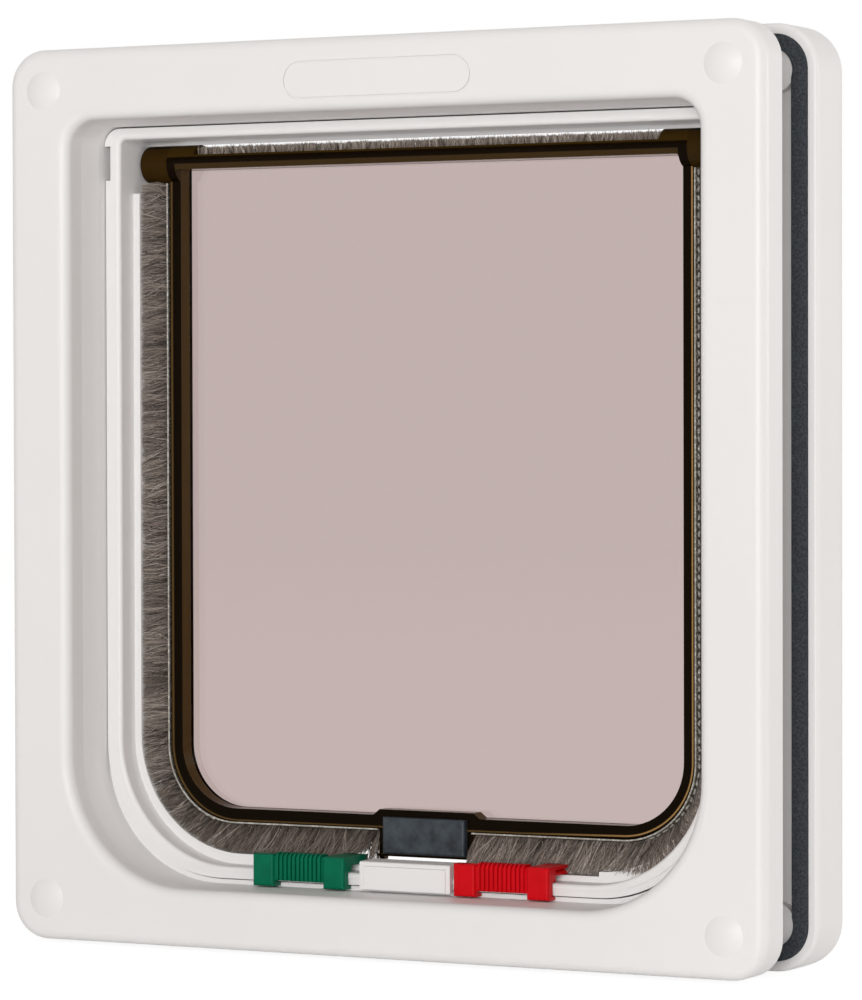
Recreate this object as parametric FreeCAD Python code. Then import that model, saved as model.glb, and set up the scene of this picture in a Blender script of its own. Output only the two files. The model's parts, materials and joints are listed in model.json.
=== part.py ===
import FreeCAD, Part
import os
from math import sqrt

Vector = FreeCAD.Vector
os.makedirs("parts", exist_ok=True)

# A cat flap, in millimetres. X runs across the door and +Z is up. While it is drawn, Y = 0 is the room face of
# the inner flange, Y grows through the door, and Z = 0 is the mid-height of the inner flange. Each finished
# shape is then moved so that the origin is under the middle of the whole flap, level with its lowest edge.

# Running and seating gaps
slide_gap = 0.3         # between a lock slide and the rim that it rides on
seat_gap = 0.05         # around a pin, plug or block in its seat
swing_gap = 0.4         # between the swinging flap and what it passes

# Inner frame, on the room side
inner_width = 234.0
inner_height = 252.0
inner_depth = 11.5
inner_corner_r = 10.5
inner_skin = 2.6        # front plate and side wall
inner_edge_r = 3.0      # rounding round the front
side_border = 19.2      # from the edge of the flange to the hole for the cat
top_border = 20.2
bottom_border = 16.3
sill_half = 61.8        # half the level stretch of the hole's lower edge, between its round corners
opening_top_r = 8.0
sleeve_wall = 2.0
sleeve_depth = 30.0     # how far the sleeve reaches over the tunnel
sleeve_fit = 0.4        # round the tunnel, once the sleeve has narrowed
draft_start = 8.0       # the sleeve narrows from here
draft_end = 16.0        # to here
rib_thick = 1.6
rib_pitch = 52.0        # along the sides and the top and bottom
plaque_length = 57.6
plaque_height = 10.0
plaque_groove = 0.5     # width and depth of the line round the bare plaque
plaque_x = 2.0
plaque_rise = 8.5       # above the opening

# Door between the two frames, as the flap is put together here
door_thick = 20.0

# Outer frame, on the weather side
outer_margin = 1.0      # how far it stands out all round the inner flange
outer_depth = 21.3
outer_corner_r = 12.5
outer_edge_r = 6.0      # soft rounding round the weather face
outer_skin = 2.8
lip_thick = 2.8         # edge of the flange outside the gasket
lip_round = 1.2
ledge_depth = 4.0       # from the lip down to the ledge under the gasket
well_width = 7.6        # open well between the tunnel and the ledge
tunnel_clear = 1.4      # between the sleeve and the tunnel
tunnel_corner_gap = 2.6  # the tunnel's lower corners are rounder than the sleeve's
tunnel_clear_tall = 1.6  # the same above and below it
tunnel_top_r = 5.0
tunnel_side = 4.9       # wall at the sides
tunnel_roof = 3.2
tunnel_floor = 3.4
rim_y = 18.4            # where the tunnel's room-side rim starts
rim_step = 0.6          # the outer half of the rim stands this far back
skin_step = 1.9         # width of that outer half
rim_edge_r = 1.2        # rounding of the rim into the tunnel
bore_corner_more = 2.7  # the wall is this much thicker round the lower corners
mouth_r = 2.5           # rounding of the opening in the weather face

# Ridge inside the tunnel that the brushes close against
ridge_back = 1.3        # between the ridge and the swinging gap in front of the flap
ridge_depth = 4.0
ridge_side = 2.05
ridge_sill = 2.9
ridge_drop = 8.4        # from the hinge down to the ends of the ridge
ridge_low = 1.6         # its height where the slides cross it
ridge_low_margin = 3.0  # how far the low stretch reaches past the green slide
ridge_low_pass = 1.8    # and past the red lug

# Foam gasket
gasket_width = 4.3
gasket_proud = 1.2      # how far it stands out of the lip
gasket_gap = 0.1

# Fixings, one in each corner
screw_inset = 11.8
boss_r = 5.85
boss_proud = 3.7        # boss face above the ledge
pilot_r = 1.3
screw_r = 1.5
screw_clear_r = 2.1
screw_head_r = 3.9
screw_head_h = 2.4
screw_bite = 12.0       # length in the rear boss
screw_slot = 0.9        # width of one arm of the cross recess
head_well_r = 4.6
head_well_depth = 4.0
cap_r = 5.5
cap_height = 1.3
cap_plug = 1.4

# Hinge and flap
hinge_in = 15.1         # from the rim back to the hinge
hinge_drop = 9.8        # from the top of the tunnel down to the hinge
barrel_r = 5.4
bead_set = 3.5          # the face of the bead stands this far behind the front of the barrel
ear_length = 17.9       # the barrel is full here and cut down between the ears
ear_gap = 0.4
ear_round = 1.4
bar_rise = 2.4          # top of the cut-down bar above the hinge
pin_r = 1.6
pin_in = 6.5            # length of pin inside the barrel
pin_head_r = 4.5
pin_head_h = 1.5
pin_head_gap = 0.35
bead_side_gap = 8.3     # between the bead and the tunnel wall, closed by the brush
bead_foot_gap = 11.1    # between the bead and the tunnel floor
bead_wide = 4.1
bead_corner_share = 0.591  # of the tunnel's corner radius
bead_edge_r = 0.9
window_drop = 1.7       # top of the window below the hinge
window_top_r = 0.6
panel_thick = 2.6       # the pane is flush with the back of the bead

# Magnet catch, in the flap and over the rim
pocket_half = 14.8
pocket_bevel = 2.0
pocket_rise = 1.6       # how far the pocket stands up into the window
cheek = 1.8
holder_proud = 2.0      # in front of the bead
holder_edge_r = 0.7
holder_cover = 2.2      # wall of the pocket behind the holder
holder_tall = 10.4
holder_lift = 4.5       # above the tunnel floor
magnet_length = 20.0
magnet_width = 6.5
magnet_thick = 2.4
catch_left = -12.9
catch_length = 28.3
catch_tall = 3.6        # above the tunnel floor
catch_skirt = 0.8       # below the rim
catch_proud = 1.9       # in front of the rim
catch_wall = 1.2
catch_round = 0.6
cover_proud = 0.35
cover_sunk = 0.9        # depth of the cover's seat in the housing
cover_margin = 1.3
cover_drop = 1.2        # from the top of the housing to the cover

# Brush strips round the flap
pile_width = 4.8
pile_set = 0.1          # behind the face of the bead
pile_fan = 4.5          # the tips lean this far forward of the roots
pile_tip = 0.4          # thickness left at the tips in front
pile_foot = 6.3         # length of the lower pile
pile_top = 3.4          # height of the pile on the bar
pile_top_width = 5.0
pile_corner_share = 0.86  # of the tunnel's corner radius

# Lock slides
slide_proud = 3.0       # in front of the rim
slide_tall = 4.4        # above the tunnel floor
slide_hook = 0.9        # thin toe under the rim
slide_hook_reach = 1.2
slide_shelf = 1.6       # depth of the level top behind the rim
slide_fall = 0.4
slide_travel = 4.0
slide_stop = 0.5        # between the moved green slide and the catch
slide_stand = 1.5       # between the catch and the red slide
block_wide = 6.7
block_round = 0.8
grip_gap = 0.5
grip_wide = 14.8
grip_drop = 1.7         # the ribbed grip stops this far above the blocks' lower edge
grip_rise = 0.5         # and stands this far above their top
rib_count = 11
rib_relief = 0.7        # depth of the grooves between the ribs
rib_share = 0.55        # part of the pitch that is rib
rib_round = 1.6         # round the top of the ribs
arm_tall = 4.3
green_toe = 1.5         # how far the green arm stays back from where the lug comes to rest
red_toe = 3.0           # the same for the short red arm
red_arm = 4.0
red_finger = 2.3
red_nick = 0.9
lock_gap = 0.5          # between a lug and the slide that stops it
finger_thick = 2.5
lug_reach = 2.8         # bottom of the lugs above the tunnel floor
lug_gap = 2.6           # sideways, between the red lug and its open slide
green_lug_wide = 1.5
red_lug_wide = 3.5
lug_deep = 2.3

# Places that follow
outer_width = inner_width + 2 * outer_margin
outer_height = inner_height + 2 * outer_margin
opening_half = inner_width / 2 - side_border
opening_top = inner_height / 2 - top_border
opening_bottom = bottom_border - inner_height / 2
opening_bottom_r = opening_half - sill_half
plaque_z = opening_top + plaque_rise
tunnel_half = opening_half - tunnel_clear
tunnel_top = opening_top - tunnel_clear_tall
tunnel_bottom = opening_bottom + tunnel_clear_tall
tunnel_bottom_r = opening_bottom_r - tunnel_clear + tunnel_corner_gap
lip_y = inner_depth + door_thick + gasket_proud
ledge_y = lip_y + ledge_depth
weather_y = lip_y + outer_depth
floor_y = weather_y - outer_skin
sill_z = tunnel_bottom + tunnel_floor
ridge_low_z = sill_z + ridge_low
boss_y = ledge_y - boss_proud
hinge_y = rim_y + hinge_in
hinge_z = tunnel_top - hinge_drop
ridge_top_z = hinge_z - ridge_drop
bead_front = hinge_y - barrel_r + bead_set
bead_back = hinge_y + barrel_r
bead_half = tunnel_half - tunnel_side - bead_side_gap
bead_bottom = sill_z + bead_foot_gap
bore_bottom_r = tunnel_bottom_r - tunnel_side + bore_corner_more
bead_corner_r = bead_corner_share * tunnel_bottom_r
pile_corner_r = pile_corner_share * tunnel_bottom_r
window_top = hinge_z - window_drop
ear_end = tunnel_half - tunnel_side - ear_gap
ear_start = ear_end - ear_length
bar_top_z = hinge_z + bar_rise
window_foot = bead_bottom + bead_wide
pane_y = bead_back - panel_thick
ridge_y = bead_front - swing_gap - ridge_back - ridge_depth
holder_y = bead_front - holder_proud
holder_back = bead_back - holder_cover
holder_bottom = sill_z + holder_lift
holder_top = holder_bottom + holder_tall
pile_y = bead_front + pile_set
brush_side = tunnel_half - tunnel_side - ridge_side - swing_gap
brush_bottom = bead_bottom - pile_foot
hook_end = rim_y + slide_hook_reach + 2 * slide_gap
slide_y = rim_y - slide_proud
slide_top = sill_z + slide_tall
slide_length = 2 * block_wide + 2 * grip_gap + grip_wide
arm_top = sill_z + arm_tall
toe_y = bead_front - lock_gap
finger_y = bead_back + lock_gap
lug_z = sill_z + lug_reach
catch_x = (catch_left, catch_left + catch_length)
green_start = catch_x[0] - slide_stop - slide_travel - slide_length
red_start = catch_x[1] + slide_stand
red_end = red_start + slide_length
red_lug_x = red_end + red_finger + lug_gap
ridge_low_x = (green_start - ridge_low_margin, red_lug_x + red_lug_wide + ridge_low_pass)
catch_y = rim_y - catch_proud
catch_back = ridge_y
catch_top = sill_z + catch_tall
catch_bottom = tunnel_bottom - catch_skirt
screw_x = inner_width / 2 - screw_inset
screw_z = inner_height / 2 - screw_inset
corners = {"top_left": (-1, 1), "top_right": (1, 1), "bottom_left": (-1, -1), "bottom_right": (1, -1)}
middle_y = (weather_y - cap_height) / 2
to_origin = Vector(0, -middle_y, outer_height / 2)


def outline(half, top, bottom, top_r, bottom_r, y):
    """Closed wire of a rounded window, square to Y."""
    def at(x, z):
        return Vector(x, y, z)

    def corner(x, z, r, sx, sz):
        k = r * (1 - sqrt(0.5))
        a, b = at(x, z - sz * r), at(x - sx * r, z)
        return a, at(x - sx * k, z - sz * k), b

    rt = corner(half, top, top_r, 1, 1)
    lt = corner(-half, top, top_r, -1, 1)
    lb = corner(-half, bottom, bottom_r, -1, -1)
    rb = corner(half, bottom, bottom_r, 1, -1)
    edges = [
        Part.Arc(*rt), Part.LineSegment(rt[2], lt[2]),
        Part.Arc(lt[2], lt[1], lt[0]), Part.LineSegment(lt[0], lb[0]),
        Part.Arc(*lb), Part.LineSegment(lb[2], rb[2]),
        Part.Arc(rb[2], rb[1], rb[0]), Part.LineSegment(rb[0], rt[0]),
    ]
    return Part.Wire([e.toShape() for e in edges])


def slab(shape, y0, y1, grow=0.0):
    """Solid between two Y planes, with the window outline shape = (half, top, bottom, top_r, bottom_r)."""
    half, top, bottom, top_r, bottom_r = shape
    wire = outline(half + grow, top + grow, bottom - grow, top_r + grow, bottom_r + grow, y0)
    return Part.Face(wire).extrude(Vector(0, y1 - y0, 0))


def box(x0, x1, y0, y1, z0, z1):
    return Part.makeBox(x1 - x0, y1 - y0, z1 - z0, Vector(x0, y0, z0))


def rod(r, start, length, axis):
    return Part.makeCylinder(r, length, start, axis)


def prism(points, plane, start, length):
    """Solid from a polygon in the plane square to X, Y or Z."""
    place = {
        "x": lambda a, b: Vector(start, a, b),
        "y": lambda a, b: Vector(a, start, b),
        "z": lambda a, b: Vector(a, b, start),
    }[plane]
    along = {"x": Vector(length, 0, 0), "y": Vector(0, length, 0), "z": Vector(0, 0, length)}[plane]
    wire = Part.makePolygon([place(*p) for p in points + points[:1]])
    return Part.Face(wire).extrude(along)


def fuse(parts):
    return parts[0].fuse(parts[1:]).removeSplitter() if len(parts) > 1 else parts[0]


def loft(wire0, wire1):
    return Part.makeLoft([wire0, wire1], True, True)


def edges_at_y(shape, y, inside=None):
    """Edges that lie in one Y plane, all of them or those that a window outline holds."""
    found = []
    for e in shape.Edges:
        b = e.BoundBox
        if abs(b.YMin - y) > 1e-4 or abs(b.YMax - y) > 1e-4:
            continue
        if inside is None or (max(abs(b.XMin), abs(b.XMax)) < inside[0] + 0.01
                              and b.ZMax < inside[1] + 0.01 and b.ZMin > inside[2] - 0.01):
            found.append(e)
    return found


def edges_along_x(shape, y, z):
    """Straight edges that run across the door through one point of the section."""
    return [e for e in shape.Edges if e.BoundBox.YLength < 1e-4 and e.BoundBox.ZLength < 1e-4
            and abs(e.BoundBox.YMin - y) < 1e-4 and abs(e.BoundBox.ZMin - z) < 1e-4]


def along_screws(make):
    return [make(sx * screw_x, sz * screw_z) for sx, sz in corners.values()]


opening = (opening_half, opening_top, opening_bottom, opening_top_r, opening_bottom_r)
inner_rect = (inner_width / 2, inner_height / 2, -inner_height / 2, inner_corner_r, inner_corner_r)
outer_rect = (outer_width / 2, outer_height / 2, -outer_height / 2, outer_corner_r, outer_corner_r)
tunnel = (tunnel_half, tunnel_top, tunnel_bottom, tunnel_top_r, tunnel_bottom_r)
bore = (tunnel_half - tunnel_side, tunnel_top - tunnel_roof, sill_z,
        tunnel_top_r - tunnel_roof, bore_bottom_r)
bead = (bead_half, hinge_z, bead_bottom, 0.5, bead_corner_r)
window = (bead_half - bead_wide, window_top, bead_bottom + bead_wide, window_top_r, bead_corner_r - bead_wide)


def stiffeners():
    """Ribs between the sleeve and the side wall of the inner flange."""
    sleeve_half = opening_half + sleeve_wall / 2
    wall_half = inner_width / 2 - inner_skin / 2
    wall_top = inner_height / 2 - inner_skin / 2
    ribs = []
    for step in (-1, 0, 1):
        mid = step * rib_pitch
        for side in (-1, 1):
            x0, x1 = sorted((side * sleeve_half, side * wall_half))
            ribs.append(box(x0, x1, inner_skin / 2, inner_depth, mid - rib_thick / 2, mid + rib_thick / 2))
        for z0, z1 in ((opening_top + sleeve_wall / 2, wall_top), (-wall_top, opening_bottom - sleeve_wall / 2)):
            ribs.append(box(mid - rib_thick / 2, mid + rib_thick / 2, inner_skin / 2, inner_depth, z0, z1))
    return ribs


def plaque():
    """The line round the bare plaque over the opening."""
    def oval(size):
        h = plaque_height / 2 + size
        end = plaque_length / 2 - plaque_height / 2
        a = Vector(plaque_x - end, 0, plaque_z + h)
        b = Vector(plaque_x + end, 0, plaque_z + h)
        c = Vector(plaque_x + end, 0, plaque_z - h)
        d = Vector(plaque_x - end, 0, plaque_z - h)
        right = Part.Arc(b, Vector(plaque_x + end + h, 0, plaque_z), c)
        left = Part.Arc(d, Vector(plaque_x - end - h, 0, plaque_z), a)
        edges = [Part.LineSegment(a, b), right, Part.LineSegment(c, d), left]
        return Part.Face(Part.Wire([e.toShape() for e in edges])).extrude(Vector(0, plaque_groove, 0))
    return oval(plaque_groove / 2).cut(oval(-plaque_groove / 2))


def sleeve_narrows():
    """The part of the sleeve that closes in on the tunnel, with room under the rim for the slides' toes."""
    waist = (tunnel_half + sleeve_fit, tunnel_top + sleeve_fit, opening_bottom, tunnel_top_r + sleeve_fit,
             opening_bottom_r)
    taper = loft(outline(*opening, draft_start), outline(*waist, draft_end))
    free = taper.fuse([slab(waist, draft_end, hook_end), slab(tunnel, hook_end, sleeve_depth + 1, sleeve_fit)])
    return slab(opening, draft_start, sleeve_depth).cut(free)


def inner_frame():
    block = slab(inner_rect, 0, inner_depth).fuse(slab(opening, inner_depth - 1, sleeve_depth, sleeve_wall))
    block = block.removeSplitter().cut(slab(opening, -1, sleeve_depth + 1))
    block = block.makeFillet(inner_edge_r, edges_at_y(block, 0))
    well = slab(inner_rect, inner_skin, inner_depth + 1, -inner_skin)
    well = well.cut(slab(opening, 0, sleeve_depth, sleeve_wall))
    back = Vector(0, 1, 0)
    bosses = along_screws(lambda x, z: rod(boss_r, Vector(x, inner_skin / 2, z), inner_depth - inner_skin / 2, back))
    frame = block.cut(well).fuse(bosses + stiffeners() + [sleeve_narrows()])
    wells = along_screws(lambda x, z: rod(head_well_r, Vector(x, -1, z), head_well_depth + 1, back))
    holes = along_screws(lambda x, z: rod(screw_clear_r, Vector(x, 0, z), inner_depth + 1, back))
    return frame.removeSplitter().cut(wells + holes + [plaque()])


def ridge():
    """Low wall round the lower part of the tunnel, lower still where the slides cross it."""
    inner = (bore[0] - ridge_side, bore[1] + 1, sill_z + ridge_sill, 1.0, bore[4] - ridge_side)
    ring = slab(bore, ridge_y, ridge_y + ridge_depth, 0.5)
    ring = ring.cut(slab(inner, ridge_y - 1, ridge_y + ridge_depth + 1))
    above = box(-tunnel_half, tunnel_half, ridge_y - 1, ridge_y + ridge_depth + 1, ridge_top_z, tunnel_top + 1)
    low = box(*ridge_low_x, ridge_y - 1, ridge_y + ridge_depth + 1, ridge_low_z, sill_z + ridge_sill + 1)
    return ring.cut([above, low])


def hinge_channels():
    """Channels in the outer half of the tunnel wall that the pin heads slide down, and the pin holes."""
    cuts = []
    for side in (-1, 1):
        x0, x1 = sorted((side * (tunnel_half - skin_step), side * (tunnel_half + 1)))
        half = pin_head_r + pin_head_gap
        cuts.append(box(x0, x1, rim_y - 1, hinge_y, hinge_z - half, hinge_z + half))
        cuts.append(rod(half, Vector(x0, hinge_y, hinge_z), x1 - x0, Vector(1, 0, 0)))
        start = Vector(side * (tunnel_half + 1), hinge_y, hinge_z)
        cuts.append(rod(pin_r + seat_gap, start, tunnel_side + 2, Vector(-side, 0, 0)))
    return cuts


def rim_steps():
    """The outer half of the rim, below the hinge channels, stands back a little."""
    ring = slab(tunnel, rim_y - 1, rim_y + rim_step, 1).cut(slab(tunnel, rim_y - 2, rim_y + 1, -skin_step))
    return ring.cut(box(-inner_width, inner_width, rim_y - 3, rim_y + 3, hinge_z - pin_head_r, inner_height))


def outer_frame():
    flange = slab(outer_rect, lip_y, weather_y)
    flange = flange.makeFillet(outer_edge_r, edges_at_y(flange, weather_y))
    flange = flange.makeFillet(lip_round, edges_at_y(flange, lip_y))
    flange = flange.cut(slab(outer_rect, lip_y - 1, ledge_y, -lip_thick))
    flange = flange.cut(slab(tunnel, ledge_y - 1, floor_y, well_width))
    back = Vector(0, 1, 0)
    bosses = along_screws(lambda x, z: rod(boss_r, Vector(x, boss_y, z), floor_y + 1 - boss_y, back))
    frame = flange.fuse(bosses + [slab(tunnel, rim_y, weather_y)]).removeSplitter()
    frame = frame.cut(slab(bore, rim_y - 1, weather_y + 1))
    frame = frame.makeFillet(mouth_r, edges_at_y(frame, weather_y, bore))
    frame = frame.makeFillet(rim_edge_r, edges_at_y(frame, rim_y, bore))
    pilots = along_screws(lambda x, z: rod(pilot_r, Vector(x, boss_y - 1, z), screw_bite + 2, back))
    return frame.fuse(ridge()).removeSplitter().cut(pilots + hinge_channels() + [rim_steps()])


def foam_gasket():
    rect = (outer_rect[0] - lip_thick - gasket_gap, outer_rect[1] - lip_thick - gasket_gap,
            outer_rect[2] + lip_thick + gasket_gap, outer_corner_r - lip_thick, outer_corner_r - lip_thick)
    front = lip_y - gasket_proud
    ring = slab(rect, front, ledge_y).cut(slab(rect, front - 1, ledge_y + 1, -gasket_width))
    back = Vector(0, 1, 0)
    notches = along_screws(lambda x, z: rod(boss_r + gasket_gap, Vector(x, front - 1, z), gasket_width * 3, back))
    return ring.cut(notches)


def frame_screw(sx, sz):
    x, z = sx * screw_x, sz * screw_z
    back = Vector(0, 1, 0)
    seat = head_well_depth
    tip = boss_y + screw_bite
    head = rod(screw_head_r, Vector(x, seat - screw_head_h, z), screw_head_h, back)
    head = head.makeFillet(screw_head_h / 3, edges_at_y(head, seat - screw_head_h))
    shank = rod(screw_r, Vector(x, seat - 0.5, z), tip - seat - 2 * screw_r + 0.5, back)
    point = Part.makeCone(screw_r, 0.3, 2 * screw_r, Vector(x, tip - 2 * screw_r, z), back)
    y0, y1 = seat - screw_head_h - 1, seat - screw_head_h / 3
    arm = screw_head_r * 0.6
    cross = [box(x - arm, x + arm, y0, y1, z - screw_slot / 2, z + screw_slot / 2),
             box(x - screw_slot / 2, x + screw_slot / 2, y0, y1, z - arm, z + arm)]
    return fuse([head, shank, point]).cut(cross)


def screw_cap(sx, sz):
    """Shallow dome that covers a screw, with a plug that holds it in the well."""
    x, z = sx * screw_x, sz * screw_z
    ball_r = (cap_r ** 2 + cap_height ** 2) / (2 * cap_height)
    ball = Part.makeSphere(ball_r, Vector(x, ball_r - cap_height, z))
    dome = ball.common(rod(cap_r + 1, Vector(x, -cap_height - 1, z), cap_height + 1, Vector(0, 1, 0)))
    plug = rod(head_well_r - seat_gap, Vector(x, -0.3, z), cap_plug + 0.3, Vector(0, 1, 0))
    hollow = rod(head_well_r - 1.2, Vector(x, 0.2, z), cap_plug + 1, Vector(0, 1, 0))
    return fuse([dome, plug]).cut(hollow)


def hinge_pin(side):
    out = Vector(-side, 0, 0)
    head_x = side * (tunnel_half - skin_step + pin_head_h)
    head = rod(pin_head_r, Vector(head_x, hinge_y, hinge_z), pin_head_h, out)
    reach = tunnel_half - skin_step - ear_end + pin_in
    start = Vector(side * (tunnel_half - skin_step + pin_head_h / 2), hinge_y, hinge_z)
    shank = rod(pin_r, start, reach + pin_head_h / 2, out)
    return fuse([head, shank])


def barrel():
    """Hinge barrel along the top, full at the ears and cut down between them for the top brush."""
    across = Vector(1, 0, 0)
    full = rod(barrel_r, Vector(-ear_end, hinge_y, hinge_z), 2 * ear_end, across)
    ends = [e for e in full.Edges if e.BoundBox.XLength < 1e-3]
    full = full.makeFillet(ear_round, ends)
    front = hinge_y - barrel_r - 1
    cut = box(-ear_start, ear_start, front, bead_back + 1, bar_top_z, hinge_z + barrel_r + 1)
    return full.cut(cut)


def pocket_rise_prism(y0, y1):
    """The bevelled rise of the magnet pocket above the lower bead."""
    shoulder = pocket_half + pocket_bevel
    top = window_foot + pocket_rise
    low = window_foot - 1
    points = [(-shoulder, low), (-shoulder, window_foot), (-pocket_half, top),
              (pocket_half, top), (shoulder, window_foot), (shoulder, low)]
    return prism(points, "y", y0, y1 - y0)


def lock_lugs():
    """Two lugs on the flap that the slides catch: one at the front on the left, one at the back on the right."""
    green = box(-pocket_half, -pocket_half + green_lug_wide, bead_front, bead_front + lug_deep,
                lug_z, holder_bottom + 1)
    red = box(red_lug_x, red_lug_x + red_lug_wide, bead_back - lug_deep, bead_back, lug_z, bead_bottom + 1)
    return [green, red]


def flap():
    body = slab(bead, bead_front, bead_back)
    body = body.makeFillet(bead_edge_r, edges_at_y(body, bead_front) + edges_at_y(body, bead_back))
    pocket = box(-pocket_half, pocket_half, bead_front, bead_back, holder_bottom, window_foot)
    rise = pocket_rise_prism(bead_front, bead_back)
    body = body.fuse([barrel(), pocket, rise] + lock_lugs()).removeSplitter()
    front = hinge_y - barrel_r - 1
    body = body.cut(slab(window, front, pane_y).cut(pocket_rise_prism(front - 1, pane_y + 1)))
    seat = box(-pocket_half + cheek, pocket_half - cheek, bead_front - 1, holder_back, holder_bottom - 1, holder_top)
    bores = []
    for side in (-1, 1):
        start = Vector(side * (ear_end + 1), hinge_y, hinge_z)
        bores.append(rod(pin_r + seat_gap, start, pin_in + 2, Vector(-side, 0, 0)))
    return body.cut([seat] + bores)


def flap_magnet_holder():
    half = pocket_half - cheek - seat_gap
    body = box(-half, half, holder_y, holder_back, holder_bottom, holder_top - seat_gap)
    body = body.makeFillet(holder_edge_r, edges_at_y(body, holder_y))
    mid = (holder_top + holder_bottom) / 2
    seat = box(-magnet_length / 2, magnet_length / 2, holder_back - magnet_thick - seat_gap, holder_back + 1,
               mid - magnet_width / 2, mid + magnet_width / 2)
    return body.cut(seat)


def bar_magnet(x_mid, y0, y1, z0, z1):
    half = magnet_length / 2 - seat_gap
    body = box(x_mid - half, x_mid + half, y0, y1, z0, z1)
    return body.makeChamfer(magnet_thick / 6, body.Edges)


def flap_magnet():
    mid = (holder_top + holder_bottom) / 2
    tall = magnet_width / 2 - seat_gap
    return bar_magnet(0, holder_back - magnet_thick, holder_back, mid - tall, mid + tall)


def catch_housing():
    """Cap that straddles the rim under the flap, hollow below for its magnet and seated in front for a cover."""
    x0, x1 = catch_x
    tall = box(x0, x1, catch_y, rim_y - slide_gap, catch_bottom, catch_top)
    over = box(x0, x1, rim_y - slide_gap - 1, catch_back, sill_z, catch_top)
    body = fuse([tall, over])
    top_edges = [e for e in body.Edges if abs(e.BoundBox.ZMin - catch_top) < 1e-3 and e.BoundBox.XLength > 5]
    body = body.makeFillet(catch_round, top_edges)
    mid = (x0 + x1) / 2
    back = catch_back - catch_wall
    well = box(mid - magnet_length / 2, mid + magnet_length / 2, back - magnet_width, back,
               sill_z - 1, sill_z + magnet_thick + seat_gap)
    seat = box(x0 + cover_margin, x1 - cover_margin, catch_y - 1, catch_y + cover_sunk,
               catch_bottom - 1, catch_top - cover_drop)
    return body.cut([well, seat])


def catch_cover():
    """Flat cover on the front of the housing."""
    x0, x1 = catch_x
    margin = cover_margin + seat_gap
    front = catch_y - cover_proud
    plate = box(x0 + margin, x1 - margin, front, catch_y + cover_sunk, catch_bottom,
                catch_top - cover_drop - seat_gap)
    return plate.makeChamfer(cover_proud / 2, edges_at_y(plate, front))


def catch_magnet():
    back = catch_back - catch_wall - seat_gap
    front = back - magnet_width + 2 * seat_gap
    return bar_magnet((catch_x[0] + catch_x[1]) / 2, front, back, sill_z, sill_z + magnet_thick)


def side_strip(side):
    """Brush down one side of the flap, round its lower corner and along to the magnet pocket."""
    flap_edge = (bead_half, hinge_z + barrel_r, bead_bottom, 0.5, bead_corner_r)
    tips = (brush_side, hinge_z + barrel_r, brush_bottom, 0.5, pile_corner_r)
    y0, y1 = pile_y - pile_fan, pile_y + pile_width
    fan = (brush_side - pile_tip, tips[1], brush_bottom + pile_tip, 0.5, pile_corner_r - pile_tip)
    ring = slab(tips, y0, y1).cut([slab(flap_edge, pile_y, y1 + 1), loft(outline(*fan, y0), outline(*flap_edge, pile_y))])
    top = hinge_z - barrel_r - seat_gap
    x0, x1 = sorted((side * (pocket_half + seat_gap), side * (brush_side + 1)))
    return ring.common(box(x0, x1, y0 - 1, y1 + 1, brush_bottom - 1, top))


def top_strip():
    half = pile_top_width / 2
    x = ear_start - seat_gap
    return box(-x, x, hinge_y - half, hinge_y + half, bar_top_z, bar_top_z + pile_top)


def slide_section(x0, x1, front, top, low, hooked):
    """Section that sits over the rim: a plate in front, a shelf behind it and, if hooked, a toe underneath."""
    shelf = rim_y + slide_shelf
    over = sill_z + slide_gap
    back = rim_y - slide_gap
    points = [(back, over), (shelf, over), (shelf, top - slide_fall), (shelf - 1, top), (front, top), (front, low)]
    if hooked:
        hook = tunnel_bottom - slide_gap
        reach = rim_y + slide_hook_reach
        points += [(reach, low), (reach, hook), (back, hook)]
    else:
        points += [(back, low)]
    return prism(points, "x", x0, x1 - x0)


def slide_body(start):
    """Two end blocks and the ribbed grip between them, all with the section that rides on the rim."""
    low = tunnel_bottom - slide_gap - slide_hook
    grip_start = start + block_wide + grip_gap
    right_start = grip_start + grip_wide + grip_gap
    blocks = []
    for x in (start, right_start):
        block = slide_section(x, x + block_wide, slide_y, slide_top, low, True)
        blocks.append(block.makeFillet(block_round, edges_at_y(block, slide_y)))
    grip_low = low + grip_drop
    grip_top = slide_top + grip_rise
    core_y, core_top = slide_y + rib_relief, grip_top - rib_relief
    core = slide_section(start + block_wide / 2, right_start + block_wide / 2, core_y, core_top, grip_low, False)
    core = core.makeFillet(rib_round - rib_relief, edges_along_x(core, core_y, core_top))
    pitch = grip_wide / rib_count
    ribs = []
    for i in range(rib_count):
        x = grip_start + (i + (1 - rib_share) / 2) * pitch
        rib = slide_section(x, x + rib_share * pitch, slide_y, grip_top, grip_low, False)
        rib = rib.makeFillet(rib_round, edges_along_x(rib, slide_y, grip_top))
        ribs.append(rib.makeFillet(rib_relief, edges_along_x(rib, slide_y, grip_low)))
    return blocks + [core] + ribs


def green_slide():
    """Moved right, its arm stands in front of the flap's left lug, and the flap can't open into the room."""
    x1 = green_start + slide_length
    shelf = rim_y + slide_shelf - 1
    arm = box(x1 - block_wide, x1, shelf, toe_y - green_toe, ridge_low_z + slide_gap, arm_top)
    return fuse(slide_body(green_start) + [arm])


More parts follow.
